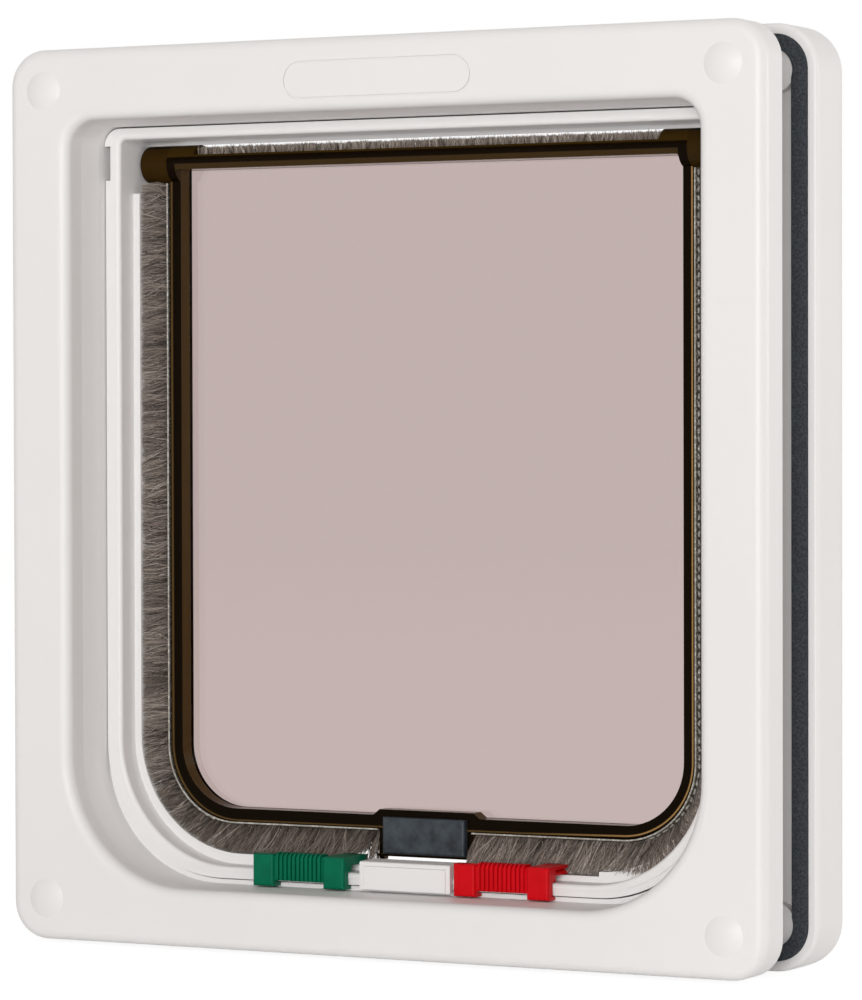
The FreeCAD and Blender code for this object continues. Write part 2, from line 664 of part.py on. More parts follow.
def red_slide():
    """Moved right, its finger stands behind the flap's right lug, and the flap can't open outwards."""
    low = ridge_low_z + slide_gap
    x0 = red_end - block_wide
    shelf = rim_y + slide_shelf - 1
    toe = toe_y - red_toe
    short = box(x0, red_end, shelf, toe, low, arm_top)
    mid = (low + arm_top) / 2
    nick = [(red_end + 1, mid + red_nick), (red_end - red_nick, mid), (red_end + 1, mid - red_nick)]
    short = short.cut(prism(nick, "y", shelf - 1, toe - shelf + 2))
    back = finger_y + finger_thick
    arm = box(x0, x0 + red_arm, shelf, back, low, arm_top)
    finger = box(x0, red_end + red_finger, finger_y, back, low, arm_top)
    return fuse(slide_body(red_start) + [short, arm, finger])


shapes = {
    "inner_frame": inner_frame(),
    "outer_frame": outer_frame(),
    "foam_gasket": foam_gasket(),
    "flap": flap(),
    "flap_magnet_holder": flap_magnet_holder(),
    "flap_magnet": flap_magnet(),
    "brush_left": side_strip(-1),
    "brush_right": side_strip(1),
    "brush_top": top_strip(),
    "catch_housing": catch_housing(),
    "catch_cover": catch_cover(),
    "catch_magnet": catch_magnet(),
    "green_slide": green_slide(),
    "red_slide": red_slide(),
    "hinge_pin_left": hinge_pin(-1),
    "hinge_pin_right": hinge_pin(1),
}
for place, (sx, sz) in corners.items():
    shapes["screw_" + place] = frame_screw(sx, sz)
    shapes["cap_" + place] = screw_cap(sx, sz)

for node, shape in shapes.items():
    solids = shape.Solids
    moved = (solids[0] if len(solids) == 1 else shape).copy()
    moved.translate(to_origin)
    moved.exportStep(f"parts/{node}.step")
    print(f"{node:20s} solids {len(solids)} valid {shape.isValid()} volume {shape.Volume / 1000:8.2f} cm3")
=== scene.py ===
import bpy
import bmesh
import json
import math
import numpy as np
from mathutils import Vector, Matrix, noise


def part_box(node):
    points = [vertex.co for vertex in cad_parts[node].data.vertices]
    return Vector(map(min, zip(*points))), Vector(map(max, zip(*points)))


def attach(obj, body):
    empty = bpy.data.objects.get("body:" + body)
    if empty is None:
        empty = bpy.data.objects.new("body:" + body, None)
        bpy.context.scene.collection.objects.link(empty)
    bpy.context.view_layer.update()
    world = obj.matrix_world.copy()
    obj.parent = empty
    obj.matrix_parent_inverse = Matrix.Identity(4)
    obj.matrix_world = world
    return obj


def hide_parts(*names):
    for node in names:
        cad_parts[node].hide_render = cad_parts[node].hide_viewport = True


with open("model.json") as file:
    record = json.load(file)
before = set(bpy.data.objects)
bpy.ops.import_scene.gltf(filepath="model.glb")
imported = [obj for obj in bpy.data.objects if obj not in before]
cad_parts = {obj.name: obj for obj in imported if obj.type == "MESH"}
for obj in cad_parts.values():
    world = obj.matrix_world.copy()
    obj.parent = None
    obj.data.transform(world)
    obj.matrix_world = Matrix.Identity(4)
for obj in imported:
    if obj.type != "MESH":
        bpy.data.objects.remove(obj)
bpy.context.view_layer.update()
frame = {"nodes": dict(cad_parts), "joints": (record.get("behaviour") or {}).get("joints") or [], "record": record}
mm = 0.001

# where the CAD puts the flap's bead, in metres: its sides, foot and corners without barrel, pocket and lugs
hinge = Vector(next(j["pos_m"] for j in frame["joints"] if j["name"] == "flap_swing"))
flapPoints = np.array([v.co for v in frame["nodes"]["flap"].data.vertices])
below = flapPoints[flapPoints[:, 2] < hinge.z - 20 * mm]
outer = below[np.abs(below[:, 0]) > 58 * mm]
bead = {"half": float(outer[:, 0].max()), "foot": float(outer[:, 2].min()),
        "front": float(outer[:, 1].min()), "back": float(outer[:, 1].max())}
edge = outer[outer[:, 0] > bead["half"] - 0.02 * mm]
bead["corner"] = float(edge[:, 2].min()) - bead["foot"]
print("frame loaded:", len(frame["nodes"]), "nodes; bead", {k: round(v / mm, 2) for k, v in bead.items()})


# camera of the photograph, measured from the room face of the flap
camera = {"place": (595.9, -1108.35, 150.3), "lens": 163.4, "sensor": 36.0, "down": -1.11, "yaw": 28.08,
    "roll": -0.14}


def makeCamera():
    data = bpy.data.cameras.new("camera")
    data.lens = camera["lens"]
    data.sensor_width = camera["sensor"]
    data.clip_end = 20
    obj = bpy.data.objects.new("camera", data)
    obj.location = Vector(camera["place"]) * mm
    tilt = Matrix.Rotation(math.radians(90 + camera["down"]), 4, "X")
    turn = Matrix.Rotation(math.radians(camera["yaw"]), 4, "Z")
    roll = Matrix.Rotation(math.radians(camera["roll"]), 4, "Z")
    obj.rotation_euler = (turn @ tilt @ roll).to_euler()
    bpy.context.scene.collection.objects.link(obj)
    bpy.context.scene.camera = obj


makeCamera()
print("camera set")


# materials

def hexColour(code):  # sRGB hex to the linear colour that a node wants
    parts = [int(code[i:i + 2], 16) / 255 for i in (0, 2, 4)]
    return tuple(c / 12.92 if c <= 0.04045 else ((c + 0.055) / 1.055) ** 2.4 for c in parts) + (1.0,)


def addNode(tree, kind, inputs=None, stops=(), **settings):  # stops: places and colours of a colour ramp
    new = tree.nodes.new(kind)
    for i, (place, colour) in enumerate(stops):
        stop = new.color_ramp.elements[i] if i < 2 else new.color_ramp.elements.new(place)
        stop.position, stop.color = place, colour
    for name, value in settings.items():
        setattr(new, name, value)
    for name, value in (inputs or {}).items():
        if isinstance(value, bpy.types.NodeSocket):
            tree.links.new(value, new.inputs[name])
        else:
            new.inputs[name].default_value = value
    return new


def newMaterial(name):
    material = bpy.data.materials.new(name)
    material.use_nodes = True
    tree = material.node_tree
    tree.nodes.clear()
    shader = tree.nodes.new("ShaderNodeBsdfPrincipled")
    out = tree.nodes.new("ShaderNodeOutputMaterial")
    tree.links.new(shader.outputs[0], out.inputs[0])
    coords = tree.nodes.new("ShaderNodeTexCoord")
    return material, tree, shader, coords.outputs["Object"]


def perMetre(size):
    return 1 / (size * mm)


absIor = 1.54  # refractive index of ABS


# injection-moulded ABS: even colour, a soft gloss broken by fine spark-eroded grain and slow flow waves
def whiteAbs(name, face, shade, grain=0.35, rough=0.42):
    material, tree, shader, coords = newMaterial(name)
    flow = addNode(tree, "ShaderNodeTexNoise", {"Vector": coords, "Scale": perMetre(70), "Detail": 3,
        "Roughness": 0.5})
    spark = addNode(tree, "ShaderNodeTexNoise", {"Vector": coords, "Scale": perMetre(grain), "Detail": 2})
    wave = addNode(tree, "ShaderNodeTexNoise", {"Vector": coords, "Scale": perMetre(26), "Detail": 1})
    colour = addNode(tree, "ShaderNodeValToRGB", {"Fac": flow.outputs["Fac"]},
        stops=[(0.3, hexColour(shade)), (0.7, hexColour(face))]).outputs["Color"]
    height = addNode(tree, "ShaderNodeMath", {0: addNode(tree, "ShaderNodeMath",
        {0: spark.outputs["Fac"], 1: 0.25}, operation="MULTIPLY").outputs[0], 1: wave.outputs["Fac"]},
        operation="ADD").outputs[0]
    gloss = addNode(tree, "ShaderNodeMapRange", {"Value": spark.outputs["Fac"], "To Min": rough - 0.05,
        "To Max": rough + 0.07})
    tree.links.new(colour, shader.inputs["Base Color"])
    tree.links.new(gloss.outputs[0], shader.inputs["Roughness"])
    tree.links.new(addNode(tree, "ShaderNodeBump", {"Height": height, "Strength": 0.12,
        "Distance": 0.2 * mm}).outputs[0], shader.inputs["Normal"])
    shader.inputs["IOR"].default_value = absIor
    shader.inputs["Specular IOR Level"].default_value = 0.35
    return material


# pigmented ABS of the small slides: strong colour, smoother than the frame, a few fine flow marks
def colouredAbs(name, body, dark, rough=0.32):
    material, tree, shader, coords = newMaterial(name)
    flow = addNode(tree, "ShaderNodeTexNoise", {"Vector": coords, "Scale": perMetre(6), "Detail": 4,
        "Roughness": 0.6})
    spark = addNode(tree, "ShaderNodeTexNoise", {"Vector": coords, "Scale": perMetre(0.3), "Detail": 2})
    colour = addNode(tree, "ShaderNodeValToRGB", {"Fac": flow.outputs["Fac"]},
        stops=[(0.3, hexColour(dark)), (0.65, hexColour(body))]).outputs["Color"]
    tree.links.new(colour, shader.inputs["Base Color"])
    tree.links.new(addNode(tree, "ShaderNodeBump", {"Height": spark.outputs["Fac"], "Strength": 0.15,
        "Distance": 0.05 * mm}).outputs[0], shader.inputs["Normal"])
    shader.inputs["Roughness"].default_value = rough
    shader.inputs["IOR"].default_value = absIor
    shader.inputs["Specular IOR Level"].default_value = 0.08
    return material


# colours of the smoked panel, and where each shows, in mm from the bead's outer edge or from the hinge. Apart from
# the pane and the bead's dark face they are painted light: a glow line with a painted highlight along the
# shoulder, brown glow on sideways faces and the barrel, painted shade at the ear's edges
smoked = {
    # painted glow colours: the shoulder's line, dim on the left and bright on the right, and the brown of the
    # bead's sideways faces
    "pane": "bdaba8", "face": "120a03", "line": "5a4628", "paintedHighlightLine": "a27e4e", "side": "4d381a",
    # painted light on the hinge barrel: the ear's brown glow with painted shade along its edges, and the bar's
    # brown glow above and below its black band
    "ear": "33230a",
    "earEdgeShade": "0c0602", "bar": "38280b", "barUnderGlow": "3b2c17", "wide": 4.1, "paneThick": 2.6, "windowDrop": 1.7,
    "lineFrom": 0.45, "lineTo": 1.08, "lineShift": 0.7, "leftWiden": 0.38, "leftShift": 0.17, "barrel": 5.7,
    "barTop": 1.9, "barLow": -0.15, "earFrom": 81.8,
    "outline": 0.45, "earEnd": 91.1}


# smoked clear polycarbonate: the pane tints what is behind it and the thick bead is nearly black face on. The
# brown of its sideways faces, the gold line along its outer shoulder and the brown bands on the barrel are painted
# glow standing in for light that leaks through; the line is a painted highlight, brighter on the right, and the
# ear's dark edges are painted shade
def smokedPolycarbonate():
    material, tree, shader, coords = newMaterial("smoked_polycarbonate")
    xyz = addNode(tree, "ShaderNodeSeparateXYZ", {0: coords})
    across = addNode(tree, "ShaderNodeMath", {0: xyz.outputs["X"]}, operation="ABSOLUTE").outputs[0]
    rise = addNode(tree, "ShaderNodeMath", {0: addNode(tree, "ShaderNodeMath",
        {0: xyz.outputs["Z"], 1: hinge.z}, operation="SUBTRACT").outputs[0], 1: mm},
        operation="DIVIDE").outputs[0]
    overX = addNode(tree, "ShaderNodeMath", {0: addNode(tree, "ShaderNodeMath",
        {0: across, 1: bead["half"] - bead["corner"]}, operation="SUBTRACT").outputs[0], 1: 0.0},
        operation="MAXIMUM").outputs[0]
    overZ = addNode(tree, "ShaderNodeMath", {0: addNode(tree, "ShaderNodeMath",
        {0: bead["foot"] + bead["corner"], 1: xyz.outputs["Z"]}, operation="SUBTRACT").outputs[0], 1: 0.0},
        operation="MAXIMUM").outputs[0]
    reach = addNode(tree, "ShaderNodeMath", {0: addNode(tree, "ShaderNodeMath",
        {0: addNode(tree, "ShaderNodeMath", {0: overX, 1: overX}, operation="MULTIPLY").outputs[0],
        1: addNode(tree, "ShaderNodeMath", {0: overZ, 1: overZ}, operation="MULTIPLY").outputs[0]},
        operation="ADD").outputs[0], 1: 0.0}, operation="SQRT").outputs[0]
    inward = addNode(tree, "ShaderNodeMath", {0: addNode(tree, "ShaderNodeMath",
        {0: bead["corner"], 1: reach}, operation="SUBTRACT").outputs[0], 1: mm},
        operation="DIVIDE").outputs[0]  # mm in from the bead's outer edge
    behind = addNode(tree, "ShaderNodeMath", {0: xyz.outputs["Y"],
        1: bead["back"] - (smoked["paneThick"] + 0.05) * mm}, operation="GREATER_THAN").outputs[0]
    within = addNode(tree, "ShaderNodeMath", {0: inward, 1: smoked["wide"] - 0.02},
        operation="GREATER_THAN").outputs[0]
    under = addNode(tree, "ShaderNodeMath", {0: rise, 1: -smoked["windowDrop"] + 0.02},
        operation="LESS_THAN").outputs[0]
    isPane = addNode(tree, "ShaderNodeMath", {0: addNode(tree, "ShaderNodeMath", {0: behind, 1: within},
        operation="MULTIPLY").outputs[0], 1: under}, operation="MULTIPLY").outputs[0]
    normal = addNode(tree, "ShaderNodeSeparateXYZ", {0: addNode(tree,
        "ShaderNodeNewGeometry").outputs["True Normal"]})
    facing = addNode(tree, "ShaderNodeMath", {0: normal.outputs["Y"]}, operation="ABSOLUTE").outputs[0]
    right = addNode(tree, "ShaderNodeMapRange", {"Value": xyz.outputs["X"], "From Min": 0.03,
        "From Max": 0.07}).outputs[0]
    left = addNode(tree, "ShaderNodeMapRange", {"Value": xyz.outputs["X"], "From Min": -0.06,
        "From Max": -0.078}).outputs[0]
    narrowed = addNode(tree, "ShaderNodeMath", {0: inward,
        1: addNode(tree, "ShaderNodeMath", {0: 1.0, 1: addNode(tree, "ShaderNodeMath",
        {0: left, 1: smoked["leftWiden"]}, operation="MULTIPLY").outputs[0]},
        operation="SUBTRACT").outputs[0]}, operation="MULTIPLY").outputs[0]
    narrowed = addNode(tree, "ShaderNodeMath", {0: narrowed,
        1: addNode(tree, "ShaderNodeMath", {0: left, 1: smoked["leftShift"]},
        operation="MULTIPLY").outputs[0]}, operation="ADD").outputs[0]
    shifted = addNode(tree, "ShaderNodeMath", {0: narrowed,
        1: addNode(tree, "ShaderNodeMath", {0: right, 1: smoked["lineShift"]},
        operation="MULTIPLY").outputs[0]}, operation="SUBTRACT").outputs[0]
    # painted glow: a gold line along the bead's outer shoulder, standing in for light leaking out of the edge
    paintedLineMask = addNode(tree, "ShaderNodeValToRGB", {"Fac": addNode(tree, "ShaderNodeMath",
        {0: shifted, 1: 4.0}, operation="DIVIDE").outputs[0]}, stops=[
        (0.0, (0, 0, 0, 1)), (smoked["lineFrom"] / 4, (0, 0, 0, 1)),
        ((smoked["lineFrom"] + 0.2) / 4, (1, 1, 1, 1)),
        ((smoked["lineTo"] - 0.2) / 4, (1, 1, 1, 1)), (smoked["lineTo"] / 4, (0, 0, 0, 1))]).outputs["Color"]
    # painted highlight: towards the right the glow line turns brighter, where the lamp's light falls
    line = addNode(tree, "ShaderNodeMix", {"Factor": right, 6: hexColour(smoked["line"]),
        7: hexColour(smoked["paintedHighlightLine"])},
                   data_type="RGBA").outputs[2]
    shoulder = addNode(tree, "ShaderNodeMix", {"Factor": paintedLineMask, 6: hexColour(smoked["face"]), 7: line},
        data_type="RGBA").outputs[2]
    # painted glow: surfaces that face sideways get a brown base colour, standing in for light leaking out through
    # the bead's sides
    sides = addNode(tree, "ShaderNodeValToRGB", {"Fac": facing},
        stops=[(0.0, (1, 1, 1, 1)), (0.35, (1, 1, 1, 1)), (0.75, (0, 0, 0, 1))]).outputs["Color"]
    beadColour = addNode(tree, "ShaderNodeMix", {"Factor": sides, 6: shoulder, 7: hexColour(smoked["side"])},
        data_type="RGBA").outputs[2]
    # painted light on the hinge bar: brown bands of painted glow on its curved top and underside, round a black
    # band across its front
    bar = addNode(tree, "ShaderNodeValToRGB", {"Fac": addNode(tree, "ShaderNodeMapRange",
        {"Value": rise, "From Min": -6.0, "From Max": 6.0}).outputs[0]}, stops=[
        (0.0, hexColour(smoked["barUnderGlow"])), ((smoked["barLow"] + 5.9) / 12, hexColour(smoked["barUnderGlow"])),
        ((smoked["barLow"] + 6.2) / 12, hexColour(smoked["face"])),
        ((smoked["barTop"] + 5.8) / 12, hexColour(smoked["face"])),
        ((smoked["barTop"] + 6.1) / 12, hexColour(smoked["bar"]))]).outputs["Color"]
    # painted light on the ear: a brown glow through the barrel's end, with painted shade darkening its top and
    # bottom edges
    ear = addNode(tree, "ShaderNodeValToRGB", {"Fac": addNode(tree, "ShaderNodeMapRange",
        {"Value": rise, "From Min": -6.0, "From Max": 6.0}).outputs[0]}, stops=[
        (0.02, hexColour(smoked["earEdgeShade"])), (0.1, hexColour(smoked["ear"])),
        (0.85, hexColour(smoked["ear"])), (0.92, hexColour(smoked["earEdgeShade"]))]).outputs["Color"]
    # painted shade: a dark outline along the ear's end
    earEndShadeMask = addNode(tree, "ShaderNodeMath", {0: across, 1: (smoked["earEnd"] - smoked["outline"]) * mm},
        operation="GREATER_THAN").outputs[0]
    ear = addNode(tree, "ShaderNodeMix", {"Factor": earEndShadeMask, 6: ear, 7: hexColour(smoked["earEdgeShade"])},
        data_type="RGBA").outputs[2]
    beside = addNode(tree, "ShaderNodeMath", {0: addNode(tree, "ShaderNodeMath",
        {0: across, 1: bead["half"] - smoked["wide"] * mm}, operation="GREATER_THAN").outputs[0],
        1: addNode(tree, "ShaderNodeMath", {0: rise, 1: 0.0}, operation="LESS_THAN").outputs[0]},
        operation="MULTIPLY").outputs[0]
    bar = addNode(tree, "ShaderNodeMix", {"Factor": beside, 6: bar, 7: hexColour(smoked["face"])},
        data_type="RGBA").outputs[2]
    isEar = addNode(tree, "ShaderNodeMath", {0: across, 1: smoked["earFrom"] * mm},
        operation="GREATER_THAN").outputs[0]
    barrel = addNode(tree, "ShaderNodeMix", {"Factor": isEar, 6: bar, 7: ear}, data_type="RGBA").outputs[2]
    isBarrel = addNode(tree, "ShaderNodeMath", {0: rise, 1: -smoked["barrel"]},
        operation="GREATER_THAN").outputs[0]
    inFront = addNode(tree, "ShaderNodeMath", {0: xyz.outputs["Y"], 1: bead["front"] - 0.05 * mm},
        operation="LESS_THAN").outputs[0]
    isBarrel = addNode(tree, "ShaderNodeMath", {0: isBarrel,
        1: addNode(tree, "ShaderNodeMath", {0: inFront, 1: addNode(tree, "ShaderNodeMath", {0: rise, 1: 0.0},
        operation="GREATER_THAN").outputs[0]}, operation="MAXIMUM").outputs[0]},
        operation="MULTIPLY").outputs[0]
    body = addNode(tree, "ShaderNodeMix", {"Factor": isBarrel, 6: beadColour, 7: barrel},
        data_type="RGBA").outputs[2]
    colour = addNode(tree, "ShaderNodeMix", {"Factor": isPane, 6: body, 7: hexColour(smoked["pane"])},
        data_type="RGBA").outputs[2]
    tree.links.new(colour, shader.inputs["Base Color"])
    tree.links.new(isPane, shader.inputs["Transmission Weight"])
    shader.inputs["Roughness"].default_value = 0.05
    shader.inputs["IOR"].default_value = 1.58
    shader.inputs["Specular IOR Level"].default_value = 0.02
    return material


# closed-cell foam cut from sheet: dull slate grey, darker in the middle of each open cell on the cut face as
# painted shade in the pits, and pale dust specks
def foamStrip():
    material, tree, shader, coords = newMaterial("closed_cell_foam")
    cells = addNode(tree, "ShaderNodeTexVoronoi", {"Vector": coords, "Scale": perMetre(0.7)})
    dust = addNode(tree, "ShaderNodeTexNoise", {"Vector": coords, "Scale": perMetre(0.35), "Detail": 3})
    speck = addNode(tree, "ShaderNodeValToRGB", {"Fac": dust.outputs["Fac"]},
        stops=[(0.68, (0, 0, 0, 1)), (0.74, (1, 1, 1, 1))]).outputs["Color"]
    # painted shade: darker in the middle of each cell, where the bump sinks the open cells
    cellToneWithShade = addNode(tree, "ShaderNodeValToRGB", {"Fac": cells.outputs["Distance"]},
        stops=[(0.1, hexColour("25282c")), (0.7, hexColour("3c4146"))]).outputs["Color"]
    colour = addNode(tree, "ShaderNodeMix", {"Factor": speck, 6: cellToneWithShade, 7: hexColour("767d83")},
        data_type="RGBA")
    tree.links.new(colour.outputs[2], shader.inputs["Base Color"])
    tree.links.new(addNode(tree, "ShaderNodeBump", {"Height": cells.outputs["Distance"], "Strength": 0.6,
        "Distance": 0.3 * mm}).outputs[0], shader.inputs["Normal"])
    shader.inputs["Roughness"].default_value = 0.85
    shader.inputs["Specular IOR Level"].default_value = 0.3
    return material


# moulded nylon of the magnet holder: blue-black and satin, clouded paler and darker at random
def darkNylon():
    material, tree, shader, coords = newMaterial("dark_nylon")
    cloud = addNode(tree, "ShaderNodeTexNoise", {"Vector": coords, "Scale": perMetre(5), "Detail": 5,
        "Roughness": 0.65})
    colour = addNode(tree, "ShaderNodeValToRGB", {"Fac": cloud.outputs["Fac"]},
        stops=[(0.3, hexColour("1c2126")), (0.7, hexColour("414950"))]).outputs["Color"]
    tree.links.new(colour, shader.inputs["Base Color"])
    tree.links.new(addNode(tree, "ShaderNodeBump", {"Height": cloud.outputs["Fac"], "Strength": 0.1,
        "Distance": 0.1 * mm}).outputs[0], shader.inputs["Normal"])
    shader.inputs["Roughness"].default_value = 0.42
    shader.inputs["Specular IOR Level"].default_value = 0.3
    return material


# zinc-plated steel wire and screws: bluish bright metal with fine drawn lines
def zincSteel():
    material, tree, shader, coords = newMaterial("zinc_plated_steel")
    drawn = addNode(tree, "ShaderNodeTexNoise", {"Vector": coords, "Scale": perMetre(0.5), "Detail": 3})
    colour = addNode(tree, "ShaderNodeValToRGB", {"Fac": drawn.outputs["Fac"]},
        stops=[(0.3, hexColour("a9acad")), (0.7, hexColour("cfd2d2"))]).outputs["Color"]
    tree.links.new(colour, shader.inputs["Base Color"])
    shader.inputs["Metallic"].default_value = 1
    shader.inputs["Roughness"].default_value = 0.32
    return material


# sintered ferrite magnet: dark grey, dull and slightly gritty
def ferrite():
    material, tree, shader, coords = newMaterial("ferrite")
    grit = addNode(tree, "ShaderNodeTexNoise", {"Vector": coords, "Scale": perMetre(0.4), "Detail": 4})
    colour = addNode(tree, "ShaderNodeValToRGB", {"Fac": grit.outputs["Fac"]},
        stops=[(0.3, hexColour("26272a")), (0.7, hexColour("3d3e42"))]).outputs["Color"]
    tree.links.new(colour, shader.inputs["Base Color"])
    shader.inputs["Roughness"].default_value = 0.7
    return material


# polypropylene pile: matt grey-brown yarn, each tuft and fibre its own tone, paler towards the tip
def pileFibre():
    material, tree, shader, coords = newMaterial("pile_fibre")
    tone = addNode(tree, "ShaderNodeAttribute", attribute_name="tone")
    colour = addNode(tree, "ShaderNodeValToRGB", {"Fac": tone.outputs["Fac"]}, stops=[
        (0.0, hexColour("271e18")), (0.25, hexColour("574b43")), (0.55, hexColour("92857b")),
        (0.8, hexColour("b9ada3")), (1.0, hexColour("e4dcd2"))]).outputs["Color"]
    tree.links.new(colour, shader.inputs["Base Color"])
    shader.inputs["Roughness"].default_value = 0.65
    shader.inputs["Specular IOR Level"].default_value = 0.3
    shader.inputs["Sheen Weight"].default_value = 0.15
    return material


# woven yarn of the pile's backing, one crossing every 0.8 mm
def wovenYarn(name, thread, ground):
    material, tree, shader, coords = newMaterial(name)
    weave = addNode(tree, "ShaderNodeTexVoronoi", {"Vector": coords, "Scale": perMetre(0.8)})
    colour = addNode(tree, "ShaderNodeValToRGB", {"Fac": weave.outputs["Distance"]},
        stops=[(0.15, hexColour(thread)), (0.6, hexColour(ground))]).outputs["Color"]
    tree.links.new(colour, shader.inputs["Base Color"])
    tree.links.new(addNode(tree, "ShaderNodeBump", {"Height": weave.outputs["Distance"], "Strength": 0.5,
        "Distance": 0.2 * mm}).outputs[0], shader.inputs["Normal"])
    shader.inputs["Roughness"].default_value = 0.8
    shader.inputs["Specular IOR Level"].default_value = 0.3
    return material


materials = {
    "white_moulding": whiteAbs("white_abs", "ebe9e8", "e9e7e6"),
    "foam": foamStrip(),
    "smoked_panel": smokedPolycarbonate(),
    "dark_moulding": darkNylon(),
    "magnet": ferrite(),
    "pile": pileFibre(),
    "green_moulding": colouredAbs("green_abs", "006a4c", "006044"),
    "red_moulding": colouredAbs("red_abs", "d00a17", "c40812"),
    "steel": zincSteel(),
}
backingMaterial = wovenYarn("woven_backing", "a39c93", "524b44")
selvedgeMaterial = wovenYarn("selvedge_yarn", "cfd0ca", "a09b92")
slotOf = {part["node"]: part["material_slot"] for part in frame["record"]["subparts"]}
for name, obj in frame["nodes"].items():
    obj.data.materials.clear()
    obj.data.materials.append(materials[slotOf[name]])
print("materials ready")


# pile strips round the flap: tufts of fibres that stand off a woven backing, all lengths in mm. The ridge,
# bore and lock arms are what the tips stay clear of, in the part's own X and Z.
pile = {
    "pitch": 0.6, "rows": 4, "perTuft": 9, "fibre": 0.135, "tuftSize": 0.15, "splay": 0.4, "short": 0.045,
    "wave": 0.27, "lean": 0.2, "stray": 0.2, "sideLean": 0.2, "footLean": -0.3, "bend": 0.75,
    "frontShare": 1.6,
    "forward": 1.15, "rootOut": 0.45, "rootFront": 5.4, "topRise": 2.25, "topTall": 0.75,
    "ridge": (89.3, 25.5, 31.8), "bore": (90.7, 22.9, 34.3), "ridgeBack": 3.4, "ridgeFront": -1.3,
    # footPaintedShade: painted shade that darkens the left strip's fibres along the foot
    "over": 4.4, "overShare": 0.42, "overBend": 3.9, "footPaintedShade": -0.11, "endFade": 4.0,
    "lowStretch": (-49.2, 55.9, 24.35), "arms": ((-24.5, -17.1), (39.0, 43.8)), "armTop": 26.8,
}
# the backing stands 1 mm proud of the bead's face: its front edge is a pale selvedge, and a row of locking
# stitches runs along its outside
backing = {"thick": 0.42, "proud": 1.0, "turn": 0.35, "foot": 0.06, "selvedge": 0.24, "stitchPitch": 2.3,
           "stitchLong": 0.9, "stitchWide": 0.5, "stitchProud": 0.32, "slant": 26, "step": 2.0,
           "stitchedShare": 0.8}


def fibreTemplate():  # a unit long up Z: a three-sided cone with a waist, so that it can bend
    bm = bmesh.new()
    bmesh.ops.create_cone(bm, cap_ends=False, segments=3, radius1=1, radius2=0.35, depth=1)
    upright = [e for e in bm.edges if abs(e.verts[0].co.z - e.verts[1].co.z) > 0.5]
    bmesh.ops.bisect_edges(bm, edges=upright, cuts=1)
    bmesh.ops.translate(bm, verts=bm.verts, vec=(0, 0, 0.5))
    bmesh.ops.triangulate(bm, faces=bm.faces)
    bm.verts.index_update()
    points = np.array([v.co for v in bm.verts])
    faces = np.array([[v.index for v in f.verts] for f in bm.faces])
    bm.free()
    return points, faces


def stamp(name, roots, tips, widths, bends, tones):  # one mesh of many fibres, each from its root to its tip
    points, faces = fibreTemplate()
    along = tips - roots
    ups = along / np.linalg.norm(along, axis=1)[:, None]
    side = np.cross(ups, np.array([0.0, 1.0, 0.0]))
    side /= np.linalg.norm(side, axis=1)[:, None] + 1e-12
    other = np.cross(ups, side)
    t = points[:, 2]
    curve = (4 * t * (1 - t))[None, :, None] * bends[:, None, :]
    wide = points[:, 0][None, :, None] * widths[:, None, None] * side[:, None, :]
    deep = points[:, 1][None, :, None] * widths[:, None, None] * other[:, None, :]
    co = roots[:, None, :] + t[None, :, None] * along[:, None, :] + curve + wide + deep
    index = faces[None] + (np.arange(len(roots)) * len(points))[:, None, None]
    mesh = bpy.data.meshes.new(name)
    mesh.from_pydata(co.reshape(-1, 3).tolist(), [], index.reshape(-1, 3).tolist())
    tone = mesh.attributes.new("tone", "FLOAT", "POINT")
    values = np.clip(tones[:, None] + 0.3 * (t[None] - 0.5), 0, 1)
    tone.data.foreach_set("value", values.astype(np.float32).ravel())
    return mesh


def linkPiece(name, mesh, material):
    obj = bpy.data.objects.new(name, mesh)
    bpy.context.scene.collection.objects.link(obj)
    mesh.materials.append(material)
    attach(obj, "flap")
    return obj


def slowWave(values, seed):  # waves along the strip, so that neighbouring tufts lean together
    return np.array([noise.noise((v * 160, seed, 0)) + 0.6 * noise.noise((v * 420, seed, 4)) for v in values])


# the bead's outer edge from under the ear, round the corner and along to the magnet pocket
def edgePath(side, node):
    low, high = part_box(node)
    inner = min(abs(low.x), abs(high.x))
    path = {"side": side, "down": high.z - bead["foot"] - bead["corner"], "arc": bead["corner"] * math.pi / 2,
            "across": bead["half"] - bead["corner"] - inner}
    path["length"] = path["down"] + path["arc"] + path["across"]
    return path


def onPath(path, s):
    angle = np.clip((s - path["down"]) / bead["corner"], 0, math.pi / 2)
    run = np.maximum(s - path["down"] - path["arc"], 0)
    straight = bead["half"] - bead["corner"]
    out = np.stack([path["side"] * np.cos(angle), 0 * s, -np.sin(angle)], -1)
    middle = np.stack([path["side"] * (straight - run), 0 * s,
        bead["foot"] + bead["corner"] + np.maximum(path["down"] - s, 0)], -1)
    return middle + out * bead["corner"], out


def roomTo(start, way, half, low, corner):  # how far a fibre can run before it meets a rounded outline
    near, far = np.zeros(len(start)), np.full(len(start), 14 * mm)
    for i in range(16):
        middle = (near + far) / 2
        at = start + way * middle[:, None]
        overX = np.maximum(np.abs(at[:, 0]) - (half - corner), 0)
        overZ = np.maximum(low + corner - at[:, 2], 0)
        inside = np.hypot(overX, overZ) < corner
        near, far = np.where(inside, middle, near), np.where(inside, far, middle)
    return near


def tufts(pick, length, rows, perTuft):  # place along, row and shared lean of every fibre's tuft
    columns = int(length / (pile["pitch"] * mm))
    s = (np.arange(columns)[:, None] + 0.5 * (np.arange(rows)[None] % 2)) * pile["pitch"] * mm
    s = np.clip(s + pick.normal(0, 0.2, s.shape) * mm, 0, length).ravel()
    depth = ((np.arange(rows)[None] + 0.5) / rows + pick.normal(0, 0.04, (columns, rows))).ravel()
    return np.repeat(s, perTuft), np.repeat(depth, perTuft), np.repeat(pick.normal(0, 1, (3, len(s))),
        perTuft, axis=1)


